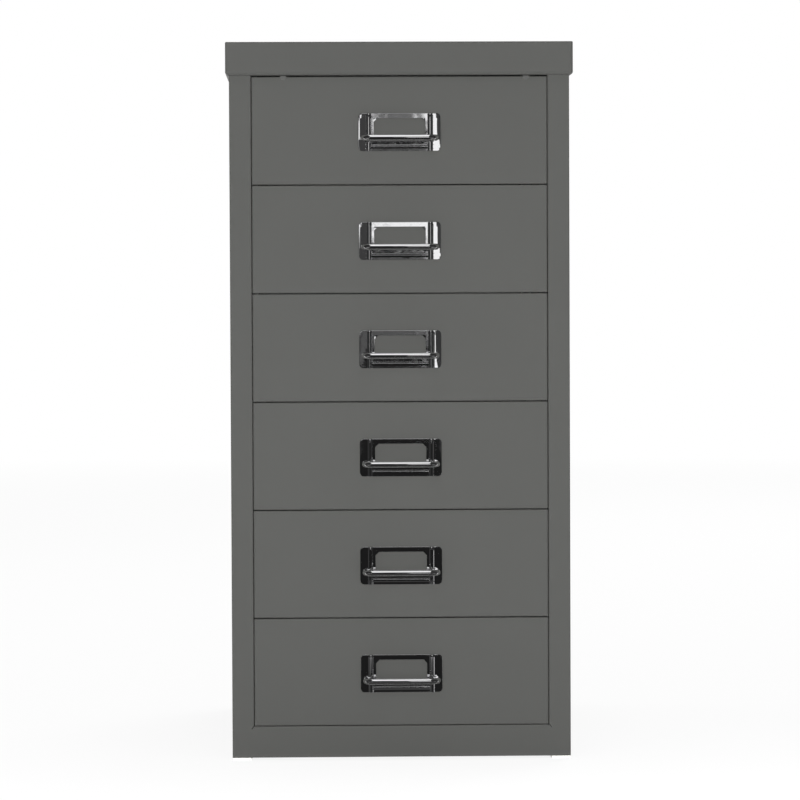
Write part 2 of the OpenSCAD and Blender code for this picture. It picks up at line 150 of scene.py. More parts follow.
class BarSettings(bpy.types.PropertyGroup):
    """The round bar of each pull."""
    diameter: length("Diameter", "Diameter of the grip bar", (BAR_HIGH.z - BAR_LOW.z) / MM)
    bend: length("Bend radius", "Radius of the bends at the bar's centre line", 6)
    wave_depth: length("Wave depth", "Depth of the soft waves in the bar", 0.01, 0, 1)


class LipSettings(bpy.types.PropertyGroup):
    """The lips of the two top buffers."""
    width: length("Width", "Width of a lip", 5)
    drop: length("Drop", "Length of a lip below the front's upper face", 2.8)
    thickness: length("Thickness", "Thickness of a lip", 0.4)
    hold: length("Hold", "How far a lip runs back over the front", 2.5)
    soft: length("Soft edge", "Rounding of a lip's front edges", 0.12)


class StageSettings(bpy.types.PropertyGroup):
    """Floor, light and camera."""
    floor: colour("Floor", "Colour of the floor", (0.93, 0.93, 0.93))
    surround: amount("Surround", "Strength of the even light all round", 0.3, 0, 4)
    key: power("Key lamp", "Power of the soft lamp before the front", 80)
    bounce: power("Floor lamp", "Power of the lamp on the floor before the front", 5.4)
    rear: power("Rear lamp", "Power of the soft lamp behind the cabinet", 90)
    left: power("Left lamp", "Power of the soft lamp to the left", 50)
    top: power("Top lamp", "Power of the soft lamp above", 60)
    level_strip: power("Level strip", "Power of the level strip lamp at the camera", 50)
    upright_strip: power("Upright strip", "Power of the upright strip lamp at the camera", 18)
    target: FloatVectorProperty(name="Target", description="Point the camera looks at",
                                default=(-0.00041, -0.182, 0.29631), size=3, subtype="XYZ",
                                unit="LENGTH")
    distance: length("Distance", "From the camera to its target", 3000, 10, 100000)
    yaw: turn("Yaw", "Camera's turn to the right", 1.42)
    pitch: turn("Pitch", "Camera's tilt upwards", -1.85)
    roll: turn("Roll", "Camera's roll", -0.24)
    lens: FloatProperty(name="Lens", description="Focal length in millimetres",
                        default=164.26, min=1, max=1000)


# ---- Selecting and shaping ----

def nothing_selected():
    if bpy.context.object and bpy.context.object.mode != "OBJECT":
        bpy.ops.object.mode_set(mode="OBJECT")
    bpy.ops.object.select_all(action="DESELECT")


def only(piece):
    nothing_selected()
    piece.select_set(True)
    bpy.context.view_layer.objects.active = piece


def settle(piece):
    """Leaves the piece at the origin, unturned and unscaled, with its place in its mesh."""
    only(piece)
    bpy.ops.object.transform_apply(location=True, rotation=True, scale=True)


def pick(kind, test):
    """Selects the open mesh's parts that pass a test. It gets a vertex's place, an edge, or
    the middle of a face."""
    bpy.ops.mesh.select_mode(type=kind)
    bpy.ops.mesh.select_all(action="DESELECT")
    mesh = bmesh.from_edit_mesh(bpy.context.object.data)
    if kind == "VERT":
        chosen = [v for v in mesh.verts if test(v.co)]
    elif kind == "EDGE":
        chosen = [e for e in mesh.edges if test(e)]
    else:
        chosen = [f for f in mesh.faces if test(f.calc_center_median())]
    for part in chosen:
        part.select_set(True)
    mesh.select_flush_mode()
    bmesh.update_edit_mesh(bpy.context.object.data)


def centre(edge):
    return (edge.verts[0].co + edge.verts[1].co) / 2


def cut(place, normal):
    """Cuts the selected faces along a plane, and selects everything again."""
    bpy.ops.mesh.bisect(plane_co=place, plane_no=normal)
    bpy.ops.mesh.select_all(action="SELECT")


def shift(x=0.0, y=0.0, z=0.0):
    bpy.ops.transform.translate(value=(x, y, z))


def extrude(x=0.0, y=0.0, z=0.0):
    bpy.ops.mesh.extrude_region_move(TRANSFORM_OT_translate={"value": (x, y, z)})


def finished(piece, name, body, material, node):
    """Names a modelled piece, gives it its finish, and lets it stand for its CAD node."""
    piece.name = piece.data.name = name
    piece.data.materials.clear()
    piece.data.materials.append(material)
    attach(piece, body)
    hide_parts(node)


def drawer_copies(first, name, material):
    """Repeats drawer 1's piece on the other drawers, each copy with its own mesh."""
    nothing_selected()
    rest = first.data.copy()
    for k in DRAWERS:
        node = f"drawer_{k}_{name}"
        piece = first
        if k > 1:
            piece = bpy.data.objects.new(node, rest.copy())
            bpy.context.scene.collection.objects.link(piece)
            piece.location.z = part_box(node)[0].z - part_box(f"drawer_1_{name}")[0].z
            settle(piece)
        finished(piece, f"drawer_{k}_chromed_{name}", f"drawer_{k}", material, node)
    bpy.data.meshes.remove(rest)


# ---- Finishes ----

def add(tree, kind, **values):
    """A new node. A value named as one of its inputs goes there, and others are its settings."""
    node = tree.nodes.new(kind)
    for name, value in values.items():
        if name in node.inputs.keys():
            node.inputs[name].default_value = value
        else:
            setattr(node, name, value)
    return node


def join(tree, start, end):
    tree.links.new(start, end)


def group(name, inputs, outputs):
    """An empty node group with named sockets, and its two end nodes."""
    tree = bpy.data.node_groups.new(name, "ShaderNodeTree")
    for socket, (kind, value) in inputs.items():
        made = tree.interface.new_socket(socket, in_out="INPUT", socket_type=kind)
        if value is not None:
            made.default_value = value
    for socket in outputs:
        tree.interface.new_socket(socket, in_out="OUTPUT", socket_type="NodeSocketFloat")
    return tree, tree.nodes.new("NodeGroupInput"), tree.nodes.new("NodeGroupOutput")


def grain_group():
    """Fine peel and broad, faint mottling of a coated or moulded surface."""
    if "grain" in bpy.data.node_groups:
        return bpy.data.node_groups["grain"]
    tree, start, end = group("grain", {
        "Place": ("NodeSocketVector", None),
        "Fine": ("NodeSocketFloat", 1000.0),
        "Broad": ("NodeSocketFloat", 12.0),
    }, ["Peel", "Mottle"])
    fine = add(tree, "ShaderNodeTexNoise", Detail=2.0, Roughness=0.55)
    broad = add(tree, "ShaderNodeTexNoise", Detail=4.0, Roughness=0.6)
    for texture, scale in ((fine, "Fine"), (broad, "Broad")):
        join(tree, start.outputs["Place"], texture.inputs["Vector"])
        join(tree, start.outputs[scale], texture.inputs["Scale"])
    join(tree, fine.outputs["Fac"], end.inputs["Peel"])
    join(tree, broad.outputs["Fac"], end.inputs["Mottle"])
    return tree


def plating_group():
    """Soft waves of the pressed metal, and the thin haze that lies on plating."""
    if "plating" in bpy.data.node_groups:
        return bpy.data.node_groups["plating"]
    tree, start, end = group("plating", {
        "Place": ("NodeSocketVector", None),
        "Waves": ("NodeSocketFloat", 80.0),
        "Haze": ("NodeSocketFloat", 260.0),
    }, ["Height", "Haze"])
    waves = add(tree, "ShaderNodeTexNoise", Detail=1.0, Roughness=0.4)
    haze = add(tree, "ShaderNodeTexNoise", Detail=5.0, Roughness=0.65, Distortion=0.4)
    for texture, scale in ((waves, "Waves"), (haze, "Haze")):
        join(tree, start.outputs["Place"], texture.inputs["Vector"])
        join(tree, start.outputs[scale], texture.inputs["Scale"])
    join(tree, waves.outputs["Fac"], end.inputs["Height"])
    join(tree, haze.outputs["Fac"], end.inputs["Haze"])
    return tree


def new_finish(name, **values):
    """A material with a Principled shader and the object's own coordinates."""
    material = bpy.data.materials.new(name)
    material.use_nodes = True
    tree = material.node_tree
    shader = tree.nodes["Principled BSDF"]
    for socket, value in values.items():
        shader.inputs[socket.replace("_", " ")].default_value = value
    place = tree.nodes.new("ShaderNodeTexCoord").outputs["Object"]
    return material, tree, shader, place


def ranged(tree, value, start, end, low, high, **settings):
    """A value from start to end, spread from low to high."""
    node = add(tree, "ShaderNodeMapRange", **settings)
    for socket, number in (("From Min", start), ("From Max", end),
                           ("To Min", low), ("To Max", high)):
        node.inputs[socket].default_value = number
    join(tree, value, node.inputs["Value"])
    return node.outputs["Result"]


def spread(tree, noise, low, high):
    """Noise, spread from low to high."""
    return ranged(tree, noise, NOISE_LOW, NOISE_HIGH, low, high)


def tones(tree, value, rgb, depth):
    """The colour, a little darker and lighter with the value."""
    mix = add(tree, "ShaderNodeMix", data_type="RGBA")
    for socket, factor in ((6, 1 - depth), (7, 1 + depth)):
        mix.inputs[socket].default_value = (*(c * factor for c in rgb), 1)
    join(tree, value, mix.inputs[0])
    return mix.outputs[2]


def bump(tree, height, shader, depth):
    node = add(tree, "ShaderNodeBump", Strength=1.0, Distance=depth)
    join(tree, height, node.inputs["Height"])
    join(tree, node.outputs["Normal"], shader.inputs["Normal"])


def coat_finish(settings, name="powder_coat", welds=False):
    """Satin powder coat. With welds, faint spot welds show on the rear flanges."""
    material, tree, shader, place = new_finish(name, IOR=1.5, Specular_IOR_Level=0.25)
    grain = add(tree, "ShaderNodeGroup", node_tree=grain_group(),
                Fine=1 / settings.peel, Broad=14.0)
    join(tree, place, grain.inputs["Place"])
    mottle = grain.outputs["Mottle"]
    join(tree, tones(tree, spread(tree, mottle, 0, 1), settings.tint, COAT_MOTTLE),
         shader.inputs["Base Color"])
    join(tree, spread(tree, mottle, settings.roughness + COAT_MOTTLE,
                      settings.roughness - COAT_MOTTLE), shader.inputs["Roughness"])
    height = grain.outputs["Peel"]
    if welds:
        height = with_welds(tree, place, height, settings)
    bump(tree, height, shader, settings.peel_depth)
    return material


def maths(tree, operation, *values):
    """A Math node on the values, which are sockets or numbers."""
    node = add(tree, "ShaderNodeMath", operation=operation)
    for socket, value in zip(node.inputs, values):
        if isinstance(value, (int, float)):
            socket.default_value = value
        else:
            join(tree, value, socket)
    return node.outputs[0]


def with_welds(tree, place, height, settings):
    """Adds shallow round dents in a column down the middle of each rear flange."""
    low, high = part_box("right_side_panel")
    parts = add(tree, "ShaderNodeSeparateXYZ")
    join(tree, place, parts.inputs[0])
    across = maths(tree, "SUBTRACT", maths(tree, "ABSOLUTE", parts.outputs["X"]),
                   (low.x + high.x) / 2)
    pitch = settings.weld_pitch
    along = maths(tree, "SUBTRACT", maths(tree, "FLOORED_MODULO", parts.outputs["Z"], pitch),
                  pitch / 2)
    reach = maths(tree, "SQRT", maths(tree, "ADD", maths(tree, "MULTIPLY", across, across),
                                      maths(tree, "MULTIPLY", along, along)))
    dent = ranged(tree, reach, settings.weld * WELD_FLOOR, settings.weld / 2, -WELD_DEPTH, 0.0,
                  interpolation_type="SMOOTHSTEP")
    rear = maths(tree, "GREATER_THAN", parts.outputs["Y"], high.y - WELD_REACH)
    return maths(tree, "ADD", height, maths(tree, "MULTIPLY", dent, rear))


def chrome_finish(settings, name, wave_depth):
    """Bright plating over softly waved metal, with a thin haze."""
    material, tree, shader, place = new_finish(name, Metallic=1.0)
    plating = add(tree, "ShaderNodeGroup", node_tree=plating_group(),
                  Waves=1 / settings.wave, Haze=240.0)
    join(tree, place, plating.inputs["Place"])
    haze = plating.outputs["Haze"]
    join(tree, tones(tree, spread(tree, haze, 0, 1), settings.chrome, HAZE_TONES),
         shader.inputs["Base Color"])
    join(tree, spread(tree, haze, settings.chrome_roughness - HAZE_CLEAR,
                      settings.chrome_roughness + HAZE_DULL), shader.inputs["Roughness"])
    bump(tree, plating.outputs["Height"], shader, wave_depth)
    return material


def zinc_finish(settings):
    """Dull plating with the faint flakes of its crystals."""
    material, tree, shader, place = new_finish("zinc_plate", Metallic=1.0)
    plating = add(tree, "ShaderNodeGroup", node_tree=plating_group(), Waves=150.0, Haze=420.0)
    join(tree, place, plating.inputs["Place"])
    flakes = add(tree, "ShaderNodeTexVoronoi", Scale=190.0)
    join(tree, place, flakes.inputs["Vector"])
    flake = add(tree, "ShaderNodeSeparateColor")
    join(tree, flakes.outputs["Color"], flake.inputs[0])
    mixed = maths(tree, "ADD", maths(tree, "MULTIPLY", flake.outputs["Red"], FLAKE_SHARE),
                  maths(tree, "MULTIPLY", plating.outputs["Haze"], 1 - FLAKE_SHARE))
    join(tree, tones(tree, spread(tree, mixed, 0, 1), settings.zinc, 0.1),
         shader.inputs["Base Color"])
    join(tree, spread(tree, mixed, 0.3, 0.46), shader.inputs["Roughness"])
    bump(tree, plating.outputs["Height"], shader, 0.02 * MM)
    return material


def spring_finish(settings):
    """Grey, slightly blotched spring steel."""
    material, tree, shader, place = new_finish("spring_steel", Metallic=1.0)
    plating = add(tree, "ShaderNodeGroup", node_tree=plating_group(), Waves=300.0, Haze=700.0)
    join(tree, place, plating.inputs["Place"])
    haze = plating.outputs["Haze"]
    join(tree, tones(tree, spread(tree, haze, 0, 1), settings.spring, 0.12),
         shader.inputs["Base Color"])
    join(tree, spread(tree, haze, 0.28, 0.4), shader.inputs["Roughness"])
    bump(tree, plating.outputs["Height"], shader, 0.01 * MM)
    return material


def moulded_finish(name, rgb, roughness, fine):
    """Moulded plastic with a fine eroded texture of so many grains to the metre."""
    material, tree, shader, place = new_finish(name, IOR=1.5)
    grain = add(tree, "ShaderNodeGroup", node_tree=grain_group(), Fine=fine, Broad=90.0)
    join(tree, place, grain.inputs["Place"])
    join(tree, tones(tree, spread(tree, grain.outputs["Mottle"], 0, 1), rgb, 0.03),
         shader.inputs["Base Color"])
    join(tree, spread(tree, grain.outputs["Peel"], roughness - 0.05, roughness + 0.05),
         shader.inputs["Roughness"])
    bump(tree, grain.outputs["Peel"], shader, 0.02 * MM)
    return material


def wear(material, *nodes):
    """Puts a finish on CAD nodes."""
    for name in nodes:
        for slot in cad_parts[name].material_slots:
            slot.material = material


def each_drawer(name):
    return [f"drawer_{k}_{name}" for k in DRAWERS]


# ---- Pieces ----

class CABINET_OT_carcass(bpy.types.Operator):
    """Coats the carcass and its cap"""
    bl_idname = "cabinet.carcass"
    bl_label = "Coat the Carcass"

    def execute(self, context):
        coat = context.scene.cabinet_coat
        wear(coat_finish(coat), "base_pan", "top_cap", "front_rail")
        wear(coat_finish(coat, "powder_coat_welded", welds=True),
             "left_side_panel", "right_side_panel", "back_panel")
        return {"FINISHED"}


class CABINET_OT_drawers(bpy.types.Operator):
    """Coats the drawer fronts and their trays"""
    bl_idname = "cabinet.drawers"
    bl_label = "Coat the Drawers"

    def execute(self, context):
        wear(bpy.data.materials["powder_coat"], *each_drawer("front"), *each_drawer("tray"))
        return {"FINISHED"}


class CABINET_OT_runners(bpy.types.Operator):
    """Plates the runners and the uprights that carry them"""
    bl_idname = "cabinet.runners"
    bl_label = "Plate the Runners"

    def execute(self, context):
        wear(zinc_finish(context.scene.cabinet_plating), "left_runners", "right_runners",
             "left_rear_upright", "right_rear_upright")
        return {"FINISHED"}


class CABINET_OT_small_parts(bpy.types.Operator):
    """Finishes the feet, glides, buffers and clips"""
    bl_idname = "cabinet.small_parts"
    bl_label = "Finish the Small Parts"

    def execute(self, context):
        plastic = context.scene.cabinet_plastic
        wear(moulded_finish("nylon", plastic.nylon, plastic.nylon_roughness, 2500.0),
             "feet", *each_drawer("glides"))
        wear(moulded_finish("buffer_plastic", plastic.buffer, plastic.buffer_roughness, 3000.0),
             "drawer_1_top_buffers")
        wear(spring_finish(context.scene.cabinet_plating), *each_drawer("pull_clips"))
        return {"FINISHED"}


class CABINET_OT_buffer_lips(bpy.types.Operator):
    """Hangs the top buffers' lips over the front's face"""
    bl_idname = "cabinet.buffer_lips"
    bl_label = "Hang the Buffer Lips"

    def execute(self, context):
        low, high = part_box("drawer_1_top_buffers")
        inset = (high.y - low.y) / 2
        first, second = (hang_lip(context.scene.cabinet_lip, x)
                         for x in (low.x + inset, high.x - inset))
        only(first)
        second.select_set(True)
        bpy.ops.object.join()
        piece = bpy.context.object
        settle(piece)
        piece.name = piece.data.name = "drawer_1_buffer_lips"
        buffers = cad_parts["drawer_1_top_buffers"]
        piece.data.materials.append(buffers.material_slots[0].material)
        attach(piece, "drawer_1")
        return {"FINISHED"}


def hang_lip(size, x):
    """A thin tab with a round lower end, folded back over the front's upper edge."""
    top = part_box("drawer_1_front")[1].z
    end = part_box("drawer_1_top_buffers")[1].z
    radius = size.width / 2
    middle = top - size.drop + radius
    bpy.ops.mesh.primitive_cylinder_add(vertices=48, radius=radius, depth=size.thickness,
                                        location=(x, FACE_Y - size.thickness / 2, middle),
                                        rotation=(pi / 2, 0, 0))
    lip = bpy.context.object
    settle(lip)
    bpy.ops.object.mode_set(mode="EDIT")

    # the disc's upper half becomes the tab's straight upper end
    pick("VERT", lambda p: p.z > middle - TINY)
    bpy.ops.transform.resize(value=(1, 1, 0), center_override=(x, FACE_Y, end))
    bpy.ops.mesh.select_all(action="SELECT")
    bpy.ops.mesh.dissolve_limited(angle_limit=radians(1))

    # what stands above the front is drawn back over it
    bpy.ops.mesh.select_all(action="SELECT")
    cut((x, FACE_Y, top), (0, 0, 1))
    pick("FACE", lambda p: p.y > FACE_Y - TINY and p.z > top)
    extrude(y=size.hold)
    pick("EDGE", lambda e: all(v.co.y < FACE_Y - size.thickness + TINY for v in e.verts)
         and e.calc_face_angle(0) > 1)
    bpy.ops.mesh.bevel(offset=size.soft, segments=3, affect="EDGES")
    bpy.ops.object.mode_set(mode="OBJECT")
    bpy.ops.object.shade_smooth_by_angle(angle=SMOOTH_ANGLE)
    return lip


class CABINET_OT_pull_plates(bpy.types.Operator):
    """Presses the chromed plates with their label windows"""
    bl_idname = "cabinet.pull_plates"
    bl_label = "Press the Pull Plates"

    def execute(self, context):
        plate = press_plate(context.scene.cabinet_plate)
        plating = context.scene.cabinet_plating
        drawer_copies(plate, "pull_plate",
                      chrome_finish(plating, "chrome_plate", plating.wave_depth))
        return {"FINISHED"}


def press_plate(size):
    """The plate of drawer 1: one sheet with a window, two ribs and a foot bead."""
    width = PLATE_HIGH.x - PLATE_LOW.x
    middle = (PLATE_HIGH.x + PLATE_LOW.x) / 2
    foot = PLATE_LOW.z
    top = PLATE_HIGH.z - size.rib_over
    face = FACE_Y - size.face
    rib_rise = face - PLATE_LOW.y
    rib, half_rib = size.rib_spacing / 2, size.rib_width / 2
    rib_crown = 1.3  # 1 gives a rib a parabola's section, and more makes it slimmer
    half_window = size.window_width / 2
    window_top = top - size.rail
    window_foot = window_top - size.window_height

    # a blank with round corners
    nothing_selected()
    bpy.ops.mesh.primitive_plane_add(size=1, location=(middle, face, (foot + top) / 2),
                                     rotation=(pi / 2, 0, 0))
    plate = bpy.context.object
    plate.scale = (width, top - foot, 1)
    settle(plate)
    bpy.ops.object.mode_set(mode="EDIT")
    bpy.ops.mesh.select_all(action="SELECT")
    bpy.ops.mesh.bevel(affect="VERTICES", offset=size.corner, segments=6)

    # the window, with its upper corners cut at 45 degrees
    bpy.ops.mesh.select_all(action="SELECT")
    for side in (-1, 1):
        cut((middle + side * half_window, 0, 0), (1, 0, 0))
    for z in (window_top, window_foot):
        cut((0, 0, z), (0, 0, 1))

    def in_window(p):
        return abs(p.x - middle) < half_window + TINY and window_foot < p.z < window_top + TINY

    for side in (-1, 1):
        pick("FACE", in_window)
        bpy.ops.mesh.bisect(plane_co=(middle + side * (half_window - size.window_cut), 0,
                                      window_top), plane_no=(side, 0, 1))
    pick("FACE", lambda p: in_window(p) and abs(p.x - middle) < half_window / 2)
    bpy.ops.mesh.delete(type="FACE")

    # the rim turns back to the drawer, with a round edge
    pick("EDGE", lambda e: e.is_boundary)
    extrude(y=size.face - TINY)
    for inside, radius in ((False, size.edge), (True, size.window_edge)):
        pick("EDGE", lambda e: e.calc_face_angle(0) > 1 and in_window(centre(e)) == inside
             and abs(centre(e).y - face) < TINY)
        bpy.ops.mesh.bevel(affect="EDGES", offset=radius, segments=3)

    # columns and rows for the ribs, the wings and the foot bead
    flat_by = 0.15 * MM  # rows and columns this far from each shape keep the rest flat
    rib_steps, wing_steps, bead_steps = 8, 5, 6
    columns = [rib - half_rib - flat_by, half_window + size.window_edge + flat_by,
               width / 2 - size.edge - flat_by]
    columns += [rib + half_rib * cos(pi * step / rib_steps) for step in range(rib_steps + 1)]
    wing = width / 2 - rib - half_rib
    columns += [rib + half_rib + wing * step / wing_steps for step in range(1, wing_steps)]
    bead = foot + size.bead_height
    rows = [bead + side * (size.bead_width / 2 + flat_by) for side in (-1, 1)]
    rows += [window_foot - size.window_edge - flat_by, window_top + size.window_edge + flat_by,
             foot + size.edge + flat_by, top - size.edge - flat_by]
    rows += [bead + size.bead_width / 2 * cos(pi * step / bead_steps)
             for step in range(bead_steps + 1)]
    rows += [top - half_rib * (1 - cos(pi * step / rib_steps))
             for step in range(1, rib_steps // 2 + 1)]
    bpy.ops.mesh.select_all(action="SELECT")
    for x in columns:
        for side in (-1, 1):
            cut((middle + side * x, 0, 0), (1, 0, 0))
    for z in rows:
        cut((0, 0, z), (0, 0, 1))

    def rise(p):
        """How far the press moves the sheet forward at a place."""
        across = abs(p.x - middle)
        if p.y > FACE_Y - 2 * TINY:
            return 0.0
        if across > rib + half_rib:
            height = (p.z - foot) / (top - foot)
            fall = size.wing_fall * (size.foot_fall + (1 - size.foot_fall) * height)
            return -fall * ((across - rib - half_rib) / wing) ** 2
        off = abs(across - rib) / half_rib
        if off < 1:
            tip = max(0.0, (p.z - (top + size.rib_over - half_rib)) / half_rib)
            return rib_rise * max(0.0, 1 - off ** 2 - tip ** 2) ** rib_crown
        off = abs(p.z - bead) / (size.bead_width / 2)
        if off < 1 and across < rib:
            return size.bead_rise * (1 - off ** 2)
        return 0.0

    press = 0.01 * MM  # the steps in which places are pressed together
    mesh = bmesh.from_edit_mesh(plate.data)
    for step in sorted({round(rise(v.co) / press) for v in mesh.verts} - {0}):
        pick("VERT", lambda p: p.y < face + size.face / 2 and round(rise(p) / press) == step)
        shift(y=-step * press)
    bpy.ops.mesh.select_all(action="SELECT")
    bpy.ops.mesh.remove_doubles(threshold=TINY / 4)
    bpy.ops.mesh.normals_make_consistent(inside=False)
    bpy.ops.object.mode_set(mode="OBJECT")
    wall = plate.modifiers.new("sheet", "SOLIDIFY")
    wall.thickness = size.sheet
    wall.offset = -1
    only(plate)
    bpy.ops.object.modifier_apply(modifier="sheet")
    bpy.ops.object.shade_smooth_by_angle(angle=SMOOTH_ANGLE)
    even = plate.modifiers.new("even_shading", "WEIGHTED_NORMAL")
    even.weight = 100
    even.keep_sharp = True
    bpy.ops.object.modifier_apply(modifier="even_shading")
    return plate


class CABINET_OT_pull_bars(bpy.types.Operator):
    """Bends the chromed grip bars"""
    bl_idname = "cabinet.pull_bars"
    bl_label = "Bend the Grip Bars"

    def execute(self, context):
        bar = context.scene.cabinet_bar
        drawer_copies(bend_bar(bar), "pull_bar",
                      chrome_finish(context.scene.cabinet_plating, "chrome_bar",
                                    bar.wave_depth))
        return {"FINISHED"}


def bend_bar(size):
    """The bar of drawer 1: a ring drawn forward, bent, drawn across, bent and drawn back."""
    radius, bend = size.diameter / 2, size.bend
    left, right = BAR_LOW.x + radius, BAR_HIGH.x - radius
    height = (BAR_LOW.z + BAR_HIGH.z) / 2
    bend_y = BAR_LOW.y + radius + bend
    nothing_selected()
    bpy.ops.mesh.primitive_circle_add(vertices=40, radius=radius, rotation=(pi / 2, 0, 0),
                                      location=(left, BAR_HIGH.y, height))
    bar = bpy.context.object
    settle(bar)
    bpy.ops.object.mode_set(mode="EDIT")
    bpy.ops.mesh.select_mode(type="EDGE")
    bpy.ops.mesh.select_all(action="SELECT")
    extrude(y=bend_y - BAR_HIGH.y)
    bpy.ops.mesh.spin(steps=14, angle=-pi / 2, center=(left + bend, bend_y, height),
                      axis=(0, 0, 1))
    extrude(x=right - left - 2 * bend)
    bpy.ops.mesh.spin(steps=14, angle=-pi / 2, center=(right - bend, bend_y, height),
                      axis=(0, 0, 1))
    extrude(y=BAR_HIGH.y - bend_y)
    pick("EDGE", lambda e: e.is_boundary)
    bpy.ops.mesh.edge_face_add()
    bpy.ops.mesh.select_all(action="SELECT")
    bpy.ops.mesh.remove_doubles(threshold=TINY / 4)
    bpy.ops.mesh.normals_make_consistent(inside=False)
    bpy.ops.object.mode_set(mode="OBJECT")
    only(bar)
    bpy.ops.object.shade_smooth_by_angle(angle=SMOOTH_ANGLE)
    return bar


# ---- Stage ----

def seen_white(tree, white):
    """Mixes in plain white where the camera, a reflection or clear material looks."""
    path = add(tree, "ShaderNodeLightPath")
    looked_at = path.outputs["Is Camera Ray"]
    for ray in ("Is Glossy Ray", "Is Transmission Ray"):
        looked_at = maths(tree, "MAXIMUM", looked_at, path.outputs[ray])
    return maths(tree, "MULTIPLY", looked_at, white)


ROOM_SIDE = 2.6  # metres from the middle to the cards at the sides and overhead
ROOM_FRONT = -3.7  # where the cards before the cabinet stand
FLOOR_NEAR = 2.5  # metres from the cabinet to where the floor starts to fade
FLOOR_FAR = 5.0  # and to where it is plain white
FLOOR_SHARE = 0.08  # how much of the lit floor shows near the cabinet
FLOOR_DIM = 0.55  # how far the white steps back for it


def floor_part(tree):
    """The share of the floor's own look: some near the cabinet, none far away."""
    place = add(tree, "ShaderNodeTexCoord").outputs["Object"]
    reach = add(tree, "ShaderNodeVectorMath", operation="LENGTH")
    join(tree, place, reach.inputs[0])
    return ranged(tree, reach.outputs["Value"], FLOOR_NEAR, FLOOR_FAR, FLOOR_SHARE, 0.0)


def stage_floor(settings):
    """A matte floor that looks white, keeps the shadow and runs into the white distance."""
    bpy.ops.mesh.primitive_plane_add(size=60, location=(0, 0, 0))
    floor = bpy.context.object
    floor.name = "floor"
    material = bpy.data.materials.new("floor")
    material.use_nodes = True
    tree = material.node_tree
    tree.nodes.clear()
    matte = add(tree, "ShaderNodeBsdfDiffuse", Color=(*settings.floor, 1))
    glow = add(tree, "ShaderNodeEmission", Color=(1, 1, 1, 1))
    mix = add(tree, "ShaderNodeMixShader")
    end = add(tree, "ShaderNodeOutputMaterial")
    part = floor_part(tree)
    join(tree, maths(tree, "SUBTRACT", 1.0, maths(tree, "MULTIPLY", part, FLOOR_DIM)),
         glow.inputs["Strength"])
    join(tree, seen_white(tree, maths(tree, "SUBTRACT", 1.0, part)), mix.inputs[0])
    join(tree, matte.outputs[0], mix.inputs[1])
    join(tree, glow.outputs[0], mix.inputs[2])
    join(tree, mix.outputs[0], end.inputs["Surface"])
    floor.data.materials.append(material)


def surround_light(strength):
    """Even light from all round that looks white."""
    world = bpy.data.worlds.new("surround")
    bpy.context.scene.world = world
    world.use_nodes = True
    tree = world.node_tree
    tree.nodes.clear()
    lit = add(tree, "ShaderNodeBackground", Color=(1, 1, 1, 1), Strength=strength)
    white = add(tree, "ShaderNodeBackground", Color=(1, 1, 1, 1), Strength=1.0)
    mix = add(tree, "ShaderNodeMixShader")
    end = add(tree, "ShaderNodeOutputWorld")
    join(tree, seen_white(tree, 1.0), mix.inputs[0])
    join(tree, lit.outputs[0], mix.inputs[1])
    join(tree, white.outputs[0], mix.inputs[2])
    join(tree, mix.outputs[0], end.inputs["Surface"])


def painted_reflection(name, corners, grey):
    """A card that glows an even grey, lit by nothing, which only reflections see and which
    lights and shades nothing: a painted reflection for the bright metal.
    """
    mesh = bpy.data.meshes.new(name)
    mesh.from_pydata(corners, [], [(0, 1, 2, 3)])
    card = bpy.data.objects.new(name, mesh)
    bpy.context.scene.collection.objects.link(card)
    material = bpy.data.materials.new(name)
    material.use_nodes = True
    tree = material.node_tree
    tree.nodes.clear()
    # painted reflection: the card glows its own grey instead of being lit
    glow = add(tree, "ShaderNodeEmission", Color=(grey, grey, grey, 1), Strength=1.0)
    end = add(tree, "ShaderNodeOutputMaterial")
    join(tree, glow.outputs[0], end.inputs["Surface"])
    mesh.materials.append(material)
    card.visible_camera = card.visible_diffuse = card.visible_shadow = False
    card.visible_transmission = card.visible_volume_scatter = False


def upright(x0, x1, z0, z1):
    y = ROOM_FRONT
    return [(x0, y, z0), (x1, y, z0), (x1, y, z1), (x0, y, z1)]


def flat(y0, y1, x0=-ROOM_SIDE, x1=ROOM_SIDE, z=0.004):
    return [(x0, y0, z), (x1, y0, z), (x1, y1, z), (x0, y1, z)]


